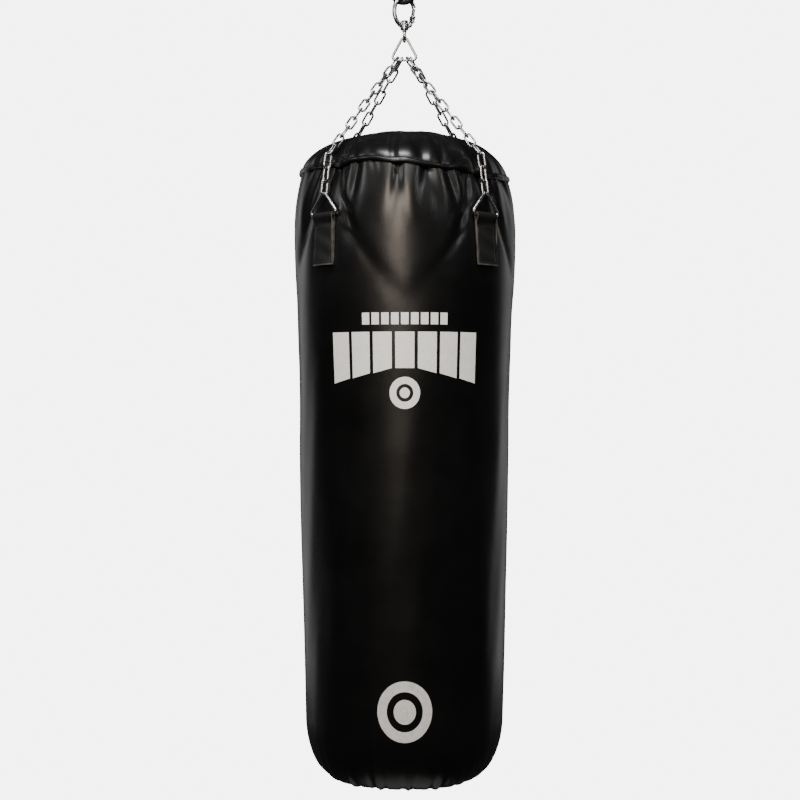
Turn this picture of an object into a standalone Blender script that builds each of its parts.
"""A filled heavy bag on four chains, hung from a ceiling eye by a swivel snap hook.

The frame's origin is the middle of the ceiling plate's top face, and +Z is up.
Every size is in metres.
"""

import math

import bmesh
import bpy
from mathutils import Matrix, Vector

# Clearances
GAP = 0.0003  # between pieces that touch
RUNNING_GAP = 0.0006  # between loops that rock in each other
RIVET_GAP = 0.0003  # round a turning shank or pin

# Ceiling plate and forged eye
PLATE_SIDE = 0.110
PLATE_THICKNESS = 0.006
PLATE_HOLE_RADIUS = 0.0035
PLATE_HOLE_SPACING = 0.082
EYE_RADIUS = 0.026
EYE_WIRE = 0.005
EYE_TURN = math.radians(-24)
EYE_NECK_RADIUS = 0.008
EYE_NECK_LENGTH = 0.010
EYE_COLLAR_RADIUS = 0.014
EYE_COLLAR_HEIGHT = 0.003

# Snap hook, with its sprung gate
HOOK_HALF_WIDTH = 0.0205
HOOK_HEIGHT = 0.054
HOOK_WIRE = 0.004
HOOK_TURN = math.radians(28)
HOOK_LATCH_ANGLE = math.radians(20)
HOOK_END_ANGLE = math.radians(308)
BOSS_RADIUS = 0.0075
BOSS_HEIGHT = 0.0125
BOSS_LIP = 0.003  # of the boss above the wire
GATE_WIRE = 0.0032
GATE_PIN_RADIUS = 0.0012
GATE_PIN_ACROSS = 0.0150
GATE_PIN_RISE = 0.0105
GATE_EAR_RADIUS = 0.0033
GATE_EAR_THICKNESS = 0.0016
GATE_TANG_THICKNESS = 0.003
WEB_SHARE = 0.9  # of a web's width and thickness to its knuckle's
GATE_SPRING_WIRE = 0.00025
GATE_SPRING_TURNS = 2
GATE_SPRING_ROOM = 0.0026
GATE_SPRING_LEG = 0.0042
GATE_LATCH_GAP = 0.001

# Swivel
SHANK_RADIUS = 0.0042
SHANK_HEAD_RADIUS = 0.0068
SHANK_HEAD_HEIGHT = 0.003
WASHER_THICKNESS = 0.0008
SWIVEL_RING_RADIUS = 0.0085
SWIVEL_RING_WIRE = 0.003

# Gathering link that carries the chains
GATHER_WIRE = 0.0025
GATHER_HEIGHT = 0.040
GATHER_BAR = 0.042
GATHER_APEX_RADIUS = 0.006
GATHER_CORNER_RADIUS = 0.006
CHAIN_STATIONS = {"front_left": -0.013, "rear_left": -0.006, "front_right": 0.006, "rear_right": 0.013}

# Chains
LINK_WIRE = 0.002
LINK_WIDTH = 0.016
LINK_COUNT = 14
LINK_BITE = 0.0012  # how far the joined links press into each other
CHAIN_STANDOFF = 0.0095  # from a chain's middle to the bag
RIM_CHAIN_RISE = 0.020  # of the chain's bend above the top seam

# Triangular rings and the straps that hold them
STRAP_AZIMUTHS = {"rear_right": 45, "rear_left": 135, "front_left": 225, "front_right": 315}
RING_WIRE = 0.0025
RING_BASE = 0.060
RING_HEIGHT = 0.038
RING_CORNER_RADIUS = 0.005
RING_DROP = 0.084  # of the ring's base bar below the top seam
STRAP_WIDTH = 0.048
STRAP_THICKNESS = 0.002
STRAP_LENGTH = 0.086

# Bag
SEGMENTS = 32
SEAM_DROP = 0.384  # of the top seam below the ceiling face
BAG_HEIGHT = 1.071  # from the top seam to the base seam
COVER_RISE = 0.074
RIM_RADIUS = 0.187
BELLY_RADIUS = 0.199
BELLY_DROP = 0.094
WAIST_RADIUS = 0.1874
WAIST_DROP = 0.472
FOOT_RADIUS = 0.1775
FOOT_ROUNDING = 0.106
BASE_RADIUS = 0.125
BASE_BULGE = 0.004
SKIN_THICKNESS = 0.0015
LINER_THICKNESS = 0.012
PIPING_RADIUS = 0.0055
RIM_DENT = 0.011  # how far the chains draw the rim in
DENT_LENGTH = 0.26

# Levels worked out from the sizes above
EYE_Z = -PLATE_THICKNESS - GAP - EYE_NECK_LENGTH - EYE_RADIUS
EYE_PIVOT_Z = EYE_Z - EYE_RADIUS
HOOK_TOP_Z = EYE_PIVOT_Z + EYE_WIRE + HOOK_WIRE + RUNNING_GAP
HOOK_Z = HOOK_TOP_Z - HOOK_HEIGHT / 2
HOOK_BOTTOM_Z = HOOK_TOP_Z - HOOK_HEIGHT
BOSS_TOP_Z = HOOK_BOTTOM_Z + HOOK_WIRE + BOSS_LIP
BOSS_BOTTOM_Z = BOSS_TOP_Z - BOSS_HEIGHT
HEAD_BOTTOM_Z = BOSS_TOP_Z + WASHER_THICKNESS + 2 * GAP
SWIVEL_RING_Z = BOSS_BOTTOM_Z - GAP - SWIVEL_RING_RADIUS - SWIVEL_RING_WIRE
SWIVEL_PIVOT_Z = SWIVEL_RING_Z - SWIVEL_RING_RADIUS
GATHER_TOP_Z = SWIVEL_PIVOT_Z + SWIVEL_RING_WIRE + GATHER_WIRE + RUNNING_GAP
GATHER_BAR_Z = GATHER_TOP_Z - GATHER_HEIGHT
SEAM_Z = -SEAM_DROP
BASE_Z = SEAM_Z - BAG_HEIGHT
RING_BAR_Z = SEAM_Z - RING_DROP
RING_APEX_Z = RING_BAR_Z + RING_HEIGHT
SIDE_TOP_Z = SEAM_Z - PIPING_RADIUS - GAP
COVER_EDGE_Z = SEAM_Z + PIPING_RADIUS + GAP
PIN_PLACE = (GATE_PIN_ACROSS, 0.0, HOOK_BOTTOM_Z + GATE_PIN_RISE)


# ---------------------------------------------------------------- scene and helpers

def clear_scene():
    for obj in list(bpy.data.objects):
        bpy.data.objects.remove(obj, do_unlink=True)
    for collection in list(bpy.data.collections):
        bpy.data.collections.remove(collection)


def new_collection(name):
    collection = bpy.data.collections.new(name)
    bpy.context.scene.collection.children.link(collection)
    return collection


def material(name, colour, roughness, metallic):
    made = bpy.data.materials.new(name)
    made.use_nodes = True
    shader = made.node_tree.nodes["Principled BSDF"]
    shader.inputs["Base Color"].default_value = (*colour, 1.0)
    shader.inputs["Roughness"].default_value = roughness
    shader.inputs["Metallic"].default_value = metallic
    made.diffuse_color = (*colour, 1.0)
    return made


def add(name, mesh, finish, parent=None):
    """Puts a mesh that is already in its place into the scene, under its joint's empty."""
    obj = bpy.data.objects.new(name, mesh)
    PARTS.objects.link(obj)
    mesh.materials.clear()
    if finish:
        mesh.materials.append(finish)
    if parent:
        obj.parent = parent
        obj.matrix_parent_inverse = parent.matrix_world.inverted()
    mesh.shade_smooth()
    mesh.set_sharp_from_angle(angle=math.radians(40))
    return obj


def pivot(name, place, parent=None):
    """An empty on a joint's axis."""
    empty = bpy.data.objects.new(name, None)
    PARTS.objects.link(empty)
    empty.location = place
    if parent:
        empty.parent = parent
        empty.location = Vector(place) - parent.matrix_world.translation
    bpy.context.view_layer.update()
    return empty


def helper(obj, collection):
    """Makes an object a cutter or a joined shape that isn't a piece by itself."""
    for owner in list(obj.users_collection):
        owner.objects.unlink(obj)
    collection.objects.link(obj)
    obj.hide_render = True
    obj.display_type = "WIRE"


def boolean(obj, other, operation):
    modifier = obj.modifiers.new(other.name, "BOOLEAN")
    modifier.operation = operation
    modifier.solver = "EXACT"
    modifier.object = other
    helper(other, CUTTERS)


def mesh_from(build):
    """A mesh from one bmesh primitive call."""
    shape = bmesh.new()
    build(shape)
    mesh = bpy.data.meshes.new("shape")
    shape.to_mesh(mesh)
    shape.free()
    return mesh


def box(size, place):
    matrix = Matrix.Translation(place) @ Matrix.Diagonal((*size, 1.0))
    return mesh_from(lambda shape: bmesh.ops.create_cube(shape, size=1.0, matrix=matrix))


def cylinder(radius, start, end, sides=24):
    """A capped cylinder from one point to another."""
    start, end = Vector(start), Vector(end)
    along = end - start
    turn = along.to_track_quat("Z", "Y").to_matrix().to_4x4()
    matrix = Matrix.Translation((start + end) / 2) @ turn
    return mesh_from(
        lambda shape: bmesh.ops.create_cone(
            shape, cap_ends=True, segments=sides, radius1=radius, radius2=radius,
            depth=along.length, matrix=matrix,
        )
    )


def wire_mesh(points, radius, closed, resolution=2):
    """A mesh of a round wire bent through the points."""
    curve = bpy.data.curves.new("wire", "CURVE")
    curve.dimensions = "3D"
    curve.bevel_depth = radius
    curve.bevel_resolution = resolution
    curve.use_fill_caps = not closed
    spline = curve.splines.new("POLY")
    spline.points.add(len(points) - 1)
    for spot, point in zip(spline.points, points):
        spot.co = (*point, 1.0)
    spline.use_cyclic_u = closed
    bent = bpy.data.objects.new("wire", curve)
    bpy.context.scene.collection.objects.link(bent)
    graph = bpy.context.evaluated_depsgraph_get()
    mesh = bpy.data.meshes.new_from_object(bent.evaluated_get(graph))
    bpy.data.objects.remove(bent)
    bpy.data.curves.remove(curve)
    shape = bmesh.new()
    shape.from_mesh(mesh)
    bmesh.ops.remove_doubles(shape, verts=shape.verts, dist=0.00001)
    bmesh.ops.recalc_face_normals(shape, faces=shape.faces)
    shape.to_mesh(mesh)
    shape.free()
    return mesh


def turned(mesh, angle):
    mesh.transform(Matrix.Rotation(angle, 4, "Z"))
    return mesh


def circle(radius, count, centre=(0, 0, 0)):
    """Points of a circle in the XZ plane."""
    turns = [math.tau * step / count for step in range(count)]
    return [Vector(centre) + radius * Vector((math.cos(t), 0, math.sin(t))) for t in turns]


def rounded_triangle(base, height, apex_radius, corner_radius, steps=3):
    """A triangle in the XZ plane with its apex up, its apex's wire at z = 0 and round corners."""
    slope = math.atan2(height - apex_radius - corner_radius, base / 2 - corner_radius)
    outline = []
    corners = (
        (0.0, -apex_radius, apex_radius, math.pi / 2 - slope, math.pi / 2 + slope),
        (corner_radius - base / 2, corner_radius - height, corner_radius, math.pi / 2 + slope, 1.5 * math.pi),
        (base / 2 - corner_radius, corner_radius - height, corner_radius, 1.5 * math.pi, 2.5 * math.pi - slope),
    )
    for x, z, radius, first, last in corners:
        for step in range(steps + 1):
            turn = first + (last - first) * step / steps
            outline.append(Vector((x + radius * math.cos(turn), 0, z + radius * math.sin(turn))))
    return outline


def loft(rings, close_ends):
    """A closed skin through rings of (radius, height, dent). Without ends, the last meets the first."""
    shape = bmesh.new()
    rows = []
    for radius, height, dent in rings:
        row = []
        for step in range(SEGMENTS):
            azimuth = math.tau * step / SEGMENTS
            reach = radius - dent * chain_pull(azimuth)
            row.append(shape.verts.new((reach * math.cos(azimuth), reach * math.sin(azimuth), height)))
        rows.append(row)
    pairs = list(zip(rows, rows[1:]))
    if not close_ends:
        pairs.append((rows[-1], rows[0]))
    for first, second in pairs:
        # Every skin splits its faces along the same diagonal, so nested skins stay parallel.
        upper, lower = (first, second) if first[0].co.z >= second[0].co.z else (second, first)
        for step in range(SEGMENTS):
            ahead = (step + 1) % SEGMENTS
            shape.faces.new((upper[step], lower[step], lower[ahead]))
            shape.faces.new((upper[step], lower[ahead], upper[ahead]))
    if close_ends:
        for row, height in ((rows[0], rings[0][1]), (rows[-1], rings[-1][1])):
            middle = shape.verts.new((0, 0, height))
            for step in range(SEGMENTS):
                shape.faces.new((row[step], row[(step + 1) % SEGMENTS], middle))
    bmesh.ops.recalc_face_normals(shape, faces=shape.faces)
    mesh = bpy.data.meshes.new("loft")
    shape.to_mesh(mesh)
    shape.free()
    return mesh


# ---------------------------------------------------------------- the bag's form

def chain_pull(azimuth):
    """1 at each chain and 0 halfway between two chains."""
    return 0.5 + 0.5 * math.cos(4 * (azimuth - math.pi / 4))


def ease(share):
    share = min(max(share, 0.0), 1.0)
    return share * share * (3 - 2 * share)


def rim_dent(height):
    """How far the chains draw the side in at a height. It fades out down the bag."""
    return RIM_DENT * (1 - ease((SEAM_Z - height) / DENT_LENGTH))


def side_radius(height):
    """The side's outer radius halfway between two chains."""
    drop = SEAM_Z - height
    foot_drop = BAG_HEIGHT - FOOT_ROUNDING
    if drop < BELLY_DROP:
        top_drop = SEAM_Z - SIDE_TOP_Z
        share = 1 - (1 - max(drop - top_drop, 0.0) / (BELLY_DROP - top_drop)) ** 2
        return RIM_RADIUS + (BELLY_RADIUS - RIM_RADIUS) * share
    if drop < WAIST_DROP:
        share = ease((drop - BELLY_DROP) / (WAIST_DROP - BELLY_DROP))
        return BELLY_RADIUS + (WAIST_RADIUS - BELLY_RADIUS) * share
    if drop < foot_drop:
        share = (drop - WAIST_DROP) / (foot_drop - WAIST_DROP)
        return WAIST_RADIUS + (FOOT_RADIUS - WAIST_RADIUS) * share
    share = min((drop - foot_drop) / FOOT_ROUNDING, 1.0)
    return BASE_RADIUS + (FOOT_RADIUS - BASE_RADIUS) * math.sqrt(1 - share * share)


def side_profile():
    """(radius, height) down the side's outer face, from the top seam to the base seam."""
    foot_drop = BAG_HEIGHT - FOOT_ROUNDING
    first = SEAM_Z - SIDE_TOP_Z
    drops = [first, BELLY_DROP * 0.35, BELLY_DROP, RING_DROP + STRAP_LENGTH, (BELLY_DROP + WAIST_DROP) / 2]
    drops += [WAIST_DROP, (WAIST_DROP + foot_drop) / 2]
    profile = [(side_radius(SEAM_Z - drop), SEAM_Z - drop) for drop in drops]
    for turn in (0, 25, 45, 65, 90):
        angle = math.radians(turn)
        radius = BASE_RADIUS + (FOOT_RADIUS - BASE_RADIUS) * math.cos(angle)
        profile.append((radius, SEAM_Z - foot_drop - FOOT_ROUNDING * math.sin(angle)))
    return profile


def cover_profile():
    """(radius, height) of the top cover's outer face, from its middle to its edge."""
    edge = RIM_RADIUS - PIPING_RADIUS / 2
    profile = []
    for share in (0.3, 0.55, 0.75, 0.88, 0.96, 1.0):
        rise = COVER_RISE * (1 - share**2.6) ** 0.62
        profile.append((edge * share, COVER_EDGE_Z + rise))
    return profile


def inward(profile, distance):
    """The profile moved into the bag, square to its own run."""
    moved = []
    for index, (radius, height) in enumerate(profile):
        before = profile[max(index - 1, 0)]
        after = profile[min(index + 1, len(profile) - 1)]
        across, down = after[0] - before[0], after[1] - before[1]
        length = math.hypot(across, down)
        moved.append((radius + down / length * distance, height - across / length * distance))
    return moved


def with_dent(profile):
    return [(radius, height, rim_dent(height)) for radius, height in profile]


def with_cover_dent(profile):
    edge = RIM_RADIUS - PIPING_RADIUS / 2
    return [(radius, height, RIM_DENT * (radius / edge) ** 2) for radius, height in profile]


# ---------------------------------------------------------------- ceiling plate and eye

def make_ceiling_plate():
    plate = add("ceiling_plate", box((PLATE_SIDE, PLATE_SIDE, PLATE_THICKNESS), (0, 0, -PLATE_THICKNESS / 2)), BLACK)
    for across in (-1, 1):
        for along in (-1, 1):
            place = Vector((across, along, 0)) * PLATE_HOLE_SPACING / 2
            reach = Vector((0, 0, 2 * PLATE_THICKNESS))
            hole = add("plate_hole", cylinder(PLATE_HOLE_RADIUS, place - reach, place + reach, 16), None)
            boolean(plate, hole, "DIFFERENCE")


def make_hanger_eye():
    ring = [Vector((0, 0, EYE_Z)) + point for point in circle(EYE_RADIUS, 28)]
    eye = add("hanger_eye", turned(wire_mesh(ring, EYE_WIRE, True), EYE_TURN), BLACK)
    top = -PLATE_THICKNESS - GAP
    neck = add("eye_neck", cylinder(EYE_NECK_RADIUS, (0, 0, top), (0, 0, EYE_Z + EYE_RADIUS)), None)
    collar = add("eye_collar", cylinder(EYE_COLLAR_RADIUS, (0, 0, top), (0, 0, top - EYE_COLLAR_HEIGHT)), None)
    boolean(eye, neck, "UNION")
    boolean(eye, collar, "UNION")


# ---------------------------------------------------------------- snap hook and gate

def hook_point(angle):
    return Vector((HOOK_HALF_WIDTH * math.cos(angle), 0, HOOK_Z + HOOK_HEIGHT / 2 * math.sin(angle)))


def make_hook_body(parent):
    steps = 22
    span = HOOK_END_ANGLE - HOOK_LATCH_ANGLE
    bend = [hook_point(HOOK_LATCH_ANGLE + span * step / steps) for step in range(steps + 1)]
    body = add("snap_hook_body", turned(wire_mesh(bend, HOOK_WIRE, False), HOOK_TURN), STEEL, parent)
    boss = add("hook_boss", cylinder(BOSS_RADIUS, (0, 0, BOSS_BOTTOM_Z), (0, 0, BOSS_TOP_Z)), None)
    boolean(body, boss, "UNION")
    bore_reach = BOSS_HEIGHT
    bore_ends = ((0, 0, BOSS_BOTTOM_Z - bore_reach), (0, 0, BOSS_TOP_Z + bore_reach))
    bore = add("boss_bore", cylinder(SHANK_RADIUS + RIVET_GAP, *bore_ends), None)
    end, pin = hook_point(HOOK_END_ANGLE), Vector(PIN_PLACE)
    half = Vector((0, GATE_TANG_THICKNESS / 2, 0))
    knuckle = add("tang_knuckle", turned(cylinder(GATE_EAR_RADIUS, pin - half, pin + half, 20), HOOK_TURN), None)
    boolean(body, knuckle, "UNION")
    tang = add("tang_web", turned(web(end, pin, GATE_TANG_THICKNESS), HOOK_TURN), None)
    boolean(body, tang, "UNION")
    boolean(body, bore, "DIFFERENCE")
    boolean(body, pin_hole("tang_hole"), "DIFFERENCE")


def strut(start, end, width, thickness):
    """A plate from one point of the XZ plane to another. Its thickness runs along Y."""
    along = end - start
    lean = Matrix.Rotation(math.atan2(along.x, along.z), 4, "Y")
    matrix = Matrix.Translation((start + end) / 2) @ lean @ Matrix.Diagonal((width, thickness, along.length, 1.0))
    return mesh_from(lambda shape: bmesh.ops.create_cube(shape, size=1.0, matrix=matrix))


def web(start, end, thickness):
    """A forged web that runs into a knuckle. It is a little narrower and thinner than the knuckle."""
    return strut(start, end, 2 * GATE_EAR_RADIUS * WEB_SHARE, thickness * WEB_SHARE)


def pin_hole(name):
    pin, reach = Vector(PIN_PLACE), Vector((0, 0.02, 0))
    return add(name, turned(cylinder(GATE_PIN_RADIUS + RIVET_GAP, pin - reach, pin + reach, 16), HOOK_TURN), None)


def gate_half_width():
    return GATE_TANG_THICKNESS / 2 + GATE_SPRING_ROOM + GATE_EAR_THICKNESS


def make_gate(parent):
    pin = Vector(PIN_PLACE)
    latch = hook_point(HOOK_LATCH_ANGLE)
    along = (latch - pin).normalized()
    tip = latch - along * (GATE_LATCH_GAP + HOOK_WIRE * 0.2)
    clear = GATE_EAR_RADIUS + HOOK_WIRE
    root = pin + along * clear
    gate = add("snap_gate", turned(wire_mesh([root, tip], GATE_WIRE, False), HOOK_TURN), STEEL, parent)
    thickness = 2 * gate_half_width()
    yoke = strut(root - along * GATE_PIN_RADIUS, root + along * GATE_WIRE, 2 * GATE_EAR_RADIUS, thickness)
    boolean(gate, add("gate_yoke", turned(yoke, HOOK_TURN), None), "UNION")
    for side in (-1, 1):
        offset = Vector((0, side * (gate_half_width() - GATE_EAR_THICKNESS / 2), 0))
        half = Vector((0, GATE_EAR_THICKNESS / 2, 0))
        knuckle = cylinder(GATE_EAR_RADIUS, pin + offset - half, pin + offset + half, 20)
        boolean(gate, add("gate_knuckle", turned(knuckle, HOOK_TURN), None), "UNION")
        ear = turned(web(pin + offset, root + offset, GATE_EAR_THICKNESS), HOOK_TURN)
        boolean(gate, add("gate_ear", ear, None), "UNION")
    boolean(gate, pin_hole("gate_hole"), "DIFFERENCE")


def make_gate_pin(parent):
    pin = Vector(PIN_PLACE)
    half = Vector((0, gate_half_width() + GAP, 0))
    add("gate_pin", turned(cylinder(GATE_PIN_RADIUS, pin - half, pin + half, 16), HOOK_TURN), STEEL, parent)


def make_gate_spring(parent):
    """A torsion spring round the pin, between the tang and one ear."""
    pin = Vector(PIN_PLACE)
    radius = GATE_PIN_RADIUS + RIVET_GAP + 2 * GATE_SPRING_WIRE
    start = GATE_TANG_THICKNESS / 2 + GAP + GATE_SPRING_WIRE
    length = GATE_SPRING_ROOM - 2 * GAP - 2 * GATE_SPRING_WIRE
    steps = 10 * GATE_SPRING_TURNS
    coil = []
    for step in range(steps + 1):
        turn = math.tau * step / 10
        place = Vector((radius * math.cos(turn), start + length * step / steps, radius * math.sin(turn)))
        coil.append(pin + place)
    leg = Vector((0, 0, GATE_SPRING_LEG))
    coil = [coil[0] - leg] + coil + [coil[-1] + leg]
    add("gate_spring", turned(wire_mesh(coil, GATE_SPRING_WIRE, False, 1), HOOK_TURN), STEEL, parent)


# ---------------------------------------------------------------- swivel and gathering link

def make_swivel(parent):
    ring = [Vector((0, 0, SWIVEL_RING_Z)) + point for point in circle(SWIVEL_RING_RADIUS, 20)]
    eye = add("swivel_eye", turned(wire_mesh(ring, SWIVEL_RING_WIRE, True), math.pi / 2), STEEL, parent)
    top = (0, 0, HEAD_BOTTOM_Z + SHANK_HEAD_HEIGHT)
    shank_ends = ((0, 0, SWIVEL_RING_Z + SWIVEL_RING_RADIUS), top)
    boolean(eye, add("swivel_shank", cylinder(SHANK_RADIUS, *shank_ends), None), "UNION")
    boolean(eye, add("shank_head", cylinder(SHANK_HEAD_RADIUS, (0, 0, HEAD_BOTTOM_Z), top), None), "UNION")


def make_swivel_washer(parent):
    bottom = BOSS_TOP_Z + GAP
    ends = ((0, 0, bottom), (0, 0, bottom + WASHER_THICKNESS))
    washer = add("swivel_washer", cylinder(SHANK_HEAD_RADIUS, *ends), STEEL, parent)
    reach = Vector((0, 0, WASHER_THICKNESS))
    hole = cylinder(SHANK_RADIUS + RIVET_GAP, Vector(ends[0]) - reach, Vector(ends[1]) + reach)
    boolean(washer, add("washer_hole", hole, None), "DIFFERENCE")


def make_gather_link(parent):
    outline = rounded_triangle(GATHER_BAR, GATHER_HEIGHT, GATHER_APEX_RADIUS, GATHER_CORNER_RADIUS)
    points = [Vector((0, 0, GATHER_TOP_Z)) + point for point in outline]
    add("gather_link", wire_mesh(points, GATHER_WIRE, True), STEEL, parent)


# ---------------------------------------------------------------- rings, straps and chains

def outward(azimuth):
    return Vector((math.cos(azimuth), math.sin(azimuth), 0))


def strap_wall():
    """The straight line that just clears the side under a strap: (radius at the ring's bar, slope)."""
    top, bottom = RING_BAR_Z + RING_HEIGHT, RING_BAR_Z - STRAP_LENGTH
    heights = [top + (bottom - top) * step / 12 for step in range(13)]
    radii = [side_radius(height) - rim_dent(height) for height in heights]
    slope = (radii[0] - radii[-1]) / (top - bottom)
    at_bar = max(radius + slope * (RING_BAR_Z - height) for radius, height in zip(radii, heights))
    return at_bar, slope


def bar_radius():
    return strap_wall()[0] + GAP + STRAP_THICKNESS + GAP + RING_WIRE


def apex_radius():
    height = RING_APEX_Z
    return side_radius(height) - rim_dent(height) + CHAIN_STANDOFF


def ring_apex(azimuth):
    """The middle of the wire at a ring's apex, a ring's height from its bar and clear of the side."""
    bar = outward(azimuth) * bar_radius() + Vector((0, 0, RING_BAR_Z))
    aim = outward(azimuth) * apex_radius() + Vector((0, 0, RING_APEX_Z))
    return bar + (aim - bar).normalized() * RING_HEIGHT


def ring_matrix(azimuth):
    """Places the XZ plane of a ring: its apex up and leaning on its own line from bar to apex."""
    apex = ring_apex(azimuth)
    up = (apex - outward(azimuth) * bar_radius() - Vector((0, 0, RING_BAR_Z))).normalized()
    across = Vector((-math.sin(azimuth), math.cos(azimuth), 0))
    basis = Matrix((across, up.cross(across), up)).transposed().to_4x4()
    return Matrix.Translation(apex) @ basis


def make_ring(name, azimuth, parent):
    outline = rounded_triangle(RING_BASE, RING_HEIGHT, RING_CORNER_RADIUS, RING_CORNER_RADIUS)
    mesh = wire_mesh(outline, RING_WIRE, True)
    mesh.transform(ring_matrix(azimuth))
    add("strap_ring_" + name, mesh, STEEL, parent)


def strap_section():
    """Outer and inner outlines of the folded strap, as (out from the wall, up) from the bar's middle."""
    outer = RING_WIRE + GAP + STRAP_THICKNESS
    inner = RING_WIRE + GAP
    back = -outer
    loop = []
    for step in range(9):
        turn = math.pi * (1 - step / 8)
        loop.append((outer * math.cos(turn), outer * math.sin(turn)))
    loop.append((outer, -outer))
    loop.append((back + 2 * STRAP_THICKNESS, -3.5 * outer))
    loop.append((back + 2 * STRAP_THICKNESS, -STRAP_LENGTH))
    loop.append((back, -STRAP_LENGTH))
    hole = [(inner * math.cos(math.tau * step / 14), inner * math.sin(math.tau * step / 14)) for step in range(14)]
    return loop, hole


def flat_curve(outlines, half_width):
    curve = bpy.data.curves.new("section", "CURVE")
    curve.dimensions = "2D"
    curve.fill_mode = "BOTH"
    curve.extrude = half_width
    for outline in outlines:
        spline = curve.splines.new("POLY")
        spline.points.add(len(outline) - 1)
        for spot, point in zip(spline.points, outline):
            spot.co = (*point, 0.0, 1.0)
        spline.use_cyclic_u = True
    flat = bpy.data.objects.new("section", curve)
    bpy.context.scene.collection.objects.link(flat)
    graph = bpy.context.evaluated_depsgraph_get()
    mesh = bpy.data.meshes.new_from_object(flat.evaluated_get(graph))
    bpy.data.objects.remove(flat)
    bpy.data.curves.remove(curve)
    shape = bmesh.new()
    shape.from_mesh(mesh)
    bmesh.ops.remove_doubles(shape, verts=shape.verts, dist=0.00001)
    bmesh.ops.recalc_face_normals(shape, faces=shape.faces)
    shape.to_mesh(mesh)
    shape.free()
    return mesh


def make_strap(name, azimuth, parent):
    mesh = flat_curve(strap_section(), STRAP_WIDTH / 2)
    slope = strap_wall()[1]
    out = outward(azimuth)
    up = (Vector((0, 0, 1)) + out * slope).normalized()
    across = Vector((-math.sin(azimuth), math.cos(azimuth), 0))
    face = up.cross(across) * -1
    basis = Matrix((face, up, face.cross(up))).transposed().to_4x4()
    place = out * bar_radius() + Vector((0, 0, RING_BAR_Z))
    mesh.transform(Matrix.Translation(place) @ basis)
    add("strap_" + name, mesh, SKIN, parent)


def chain_route(name, azimuth):
    """Where a chain's links bear on each other, from the gathering link to the ring."""
    bar = Vector((CHAIN_STATIONS[name], 0, GATHER_BAR_Z))
    rim_height = SEAM_Z + RIM_CHAIN_RISE
    rim = outward(azimuth) * (RIM_RADIUS - RIM_DENT + CHAIN_STANDOFF) + Vector((0, 0, rim_height))
    apex = ring_apex(azimuth)
    start = bar - (rim - bar).normalized() * (GATHER_WIRE + GAP + LINK_BITE / 2)
    end = apex + (apex - rim).normalized() * (RING_WIRE + GAP + LINK_BITE / 2)
    upper, lower = (rim - start).length, (end - rim).length
    pitch = (upper + lower) / LINK_COUNT
    stops = []
    for index in range(LINK_COUNT + 1):
        run = index * pitch
        if run < upper:
            stops.append(start.lerp(rim, run / upper))
        else:
            stops.append(rim.lerp(end, (run - upper) / lower))
    return stops


def link_outline(length):
    """One link's wire, long in X and wide in Y, with four points to each round end."""
    radius = LINK_WIDTH / 2 - LINK_WIRE
    half = length / 2 + LINK_WIRE - LINK_BITE / 2
    outline = []
    for side in (1, -1):
        for turn in (-90, -30, 30, 90):
            angle = math.radians(turn)
            reach = half - radius * math.cos(math.radians(30)) + radius * math.cos(angle)
            outline.append(Vector((side * reach, side * radius * math.sin(angle), 0)))
    return outline


def link_turns(stops, azimuth):
    """Each link's roll about its own run, from square to the gathering bar to square to the ring."""
    across = Vector((-math.sin(azimuth), math.cos(azimuth), 0))
    first = (stops[1] - stops[0]).normalized()
    side = (across - first * across.dot(first)).normalized()
    bar = Vector((1, 0, 0)) - first * first.x
    angle = math.atan2(bar.dot(first.cross(side)), bar.dot(side))
    last = LINK_COUNT - 1
    twist = angle - math.pi / 2 * (last % 2)
    twist = (twist + math.pi / 2) % math.pi - math.pi / 2
    return [twist * (1 - index / last) + math.pi / 2 * ((last - index) % 2) for index in range(LINK_COUNT)]


def make_chain(name, azimuth, parent):
    stops = chain_route(name, azimuth)
    across = Vector((-math.sin(azimuth), math.cos(azimuth), 0))
    chain = None
    for index, roll in enumerate(link_turns(stops, azimuth)):
        along = (stops[index + 1] - stops[index]).normalized()
        side = (across - along * across.dot(along)).normalized()
        normal = Matrix.Rotation(roll, 3, along) @ side
        basis = Matrix((along, normal.cross(along), normal)).transposed().to_4x4()
        mesh = wire_mesh(link_outline((stops[index + 1] - stops[index]).length), LINK_WIRE, True, 1)
        mesh.transform(Matrix.Translation((stops[index] + stops[index + 1]) / 2) @ basis)
        if chain is None:
            chain = add("chain_" + name, mesh, STEEL, parent)
        else:
            boolean(chain, add("link_" + name, mesh, None), "UNION")


# ---------------------------------------------------------------- the filled bag

def make_side_shell(parent):
    outer = side_profile()
    inner = inward(outer, SKIN_THICKNESS)
    add("shell_side", loft(with_dent(outer) + with_dent(inner)[::-1], False), SKIN, parent)


def make_top_cover(parent):
    outer = cover_profile()
    inner = inward(outer, SKIN_THICKNESS)
    add("top_cover", loft(with_cover_dent(outer + inner[::-1]), True), SKIN, parent)


def base_profile(rise):
    """(radius, height) of a face of the base, from its middle to its edge."""
    radius = BASE_RADIUS - SKIN_THICKNESS
    shares = (0.33, 0.66, 1.0)
    return [(radius * share, BASE_Z + rise - BASE_BULGE * (1 - share**2)) for share in shares]


def make_base_panel(parent):
    rings = base_profile(0.0) + base_profile(SKIN_THICKNESS)[::-1]
    add("base_panel", loft([(radius, height, 0.0) for radius, height in rings], True), SKIN, parent)


def make_top_piping(parent):
    points = []
    for step in range(SEGMENTS):
        azimuth = math.tau * step / SEGMENTS
        reach = RIM_RADIUS - PIPING_RADIUS / 2 - RIM_DENT * chain_pull(azimuth)
        points.append(outward(azimuth) * reach + Vector((0, 0, SEAM_Z)))
    add("top_piping", wire_mesh(points, PIPING_RADIUS, True, 1), SKIN, parent)


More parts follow.
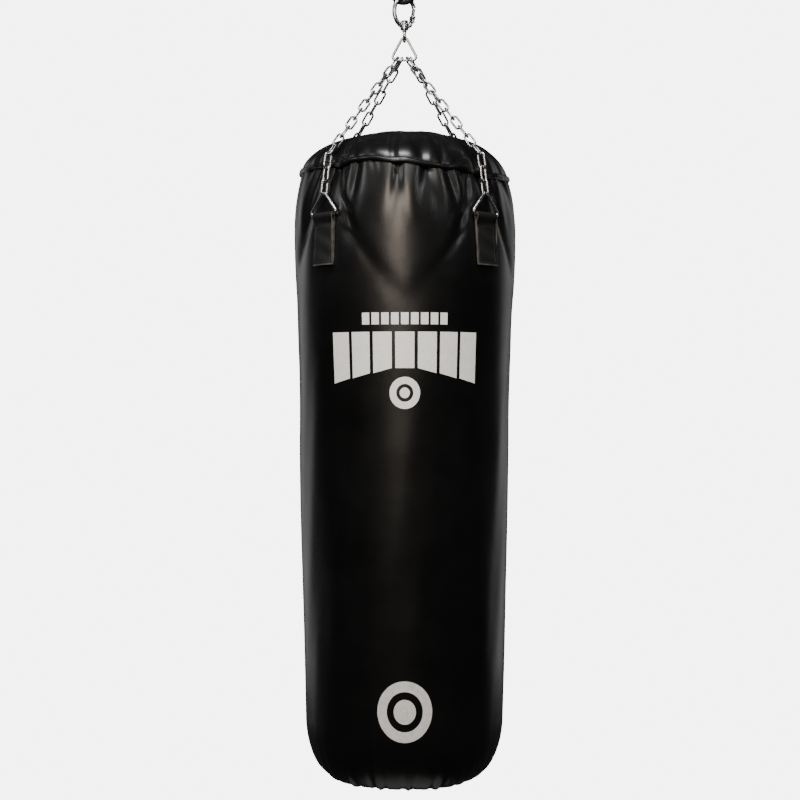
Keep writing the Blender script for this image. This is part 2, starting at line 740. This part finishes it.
def make_foam_liner(parent):
    skin = side_profile()
    outer = inward(skin, SKIN_THICKNESS + GAP)
    inner = inward(skin, SKIN_THICKNESS + GAP + LINER_THICKNESS)
    last = len(skin) - 3
    add("foam_liner", loft(with_dent(outer[:last]) + with_dent(inner[:last])[::-1], False), FOAM, parent)


def make_fill(parent):
    """The packed textile waste, up to the cover, the liner and the base."""
    cover = inward(cover_profile(), SKIN_THICKNESS + GAP)[:4]
    side = inward(side_profile(), SKIN_THICKNESS + LINER_THICKNESS + 2 * GAP)[:-1]
    floor = BASE_Z + SKIN_THICKNESS + GAP
    foot = [(radius, max(height, floor)) for radius, height in side]
    bottom = [(radius, height + GAP, 0.0) for radius, height in base_profile(SKIN_THICKNESS)[1::-1]]
    rings = with_cover_dent(cover) + with_dent(foot) + bottom
    add("textile_fill", loft(rings, True), FILL, parent)


# ---------------------------------------------------------------- the assembly

clear_scene()
PARTS = new_collection("heavy_bag")
CUTTERS = new_collection("cutters")
CUTTERS.hide_render = True

BLACK = material("black_paint", (0.02, 0.02, 0.02), 0.4, 0.0)
STEEL = material("bright_zinc_steel", (0.62, 0.62, 0.63), 0.28, 1.0)
SKIN = material("black_coated_fabric", (0.012, 0.012, 0.013), 0.22, 0.0)
FOAM = material("grey_foam", (0.3, 0.3, 0.3), 0.9, 0.0)
FILL = material("packed_textile", (0.4, 0.38, 0.35), 0.95, 0.0)

make_ceiling_plate()
make_hanger_eye()

hook_pivot = pivot("hook_swing_axis", (0, 0, EYE_PIVOT_Z))
make_hook_body(hook_pivot)
make_gate_pin(hook_pivot)
make_gate_spring(hook_pivot)
gate_pivot = pivot("gate_axis", Matrix.Rotation(HOOK_TURN, 3, "Z") @ Vector(PIN_PLACE), hook_pivot)
make_gate(gate_pivot)

swivel_pivot = pivot("swivel_axis", (0, 0, SWIVEL_RING_Z), hook_pivot)
make_swivel(swivel_pivot)
make_swivel_washer(swivel_pivot)

bag_pivot = pivot("bag_swing_axis", (0, 0, SWIVEL_PIVOT_Z), swivel_pivot)
make_gather_link(bag_pivot)
for corner, degrees in STRAP_AZIMUTHS.items():
    make_chain(corner, math.radians(degrees), bag_pivot)
    make_ring(corner, math.radians(degrees), bag_pivot)
    make_strap(corner, math.radians(degrees), bag_pivot)
make_side_shell(bag_pivot)
make_top_cover(bag_pivot)
make_base_panel(bag_pivot)
make_top_piping(bag_pivot)
make_foam_liner(bag_pivot)
make_fill(bag_pivot)
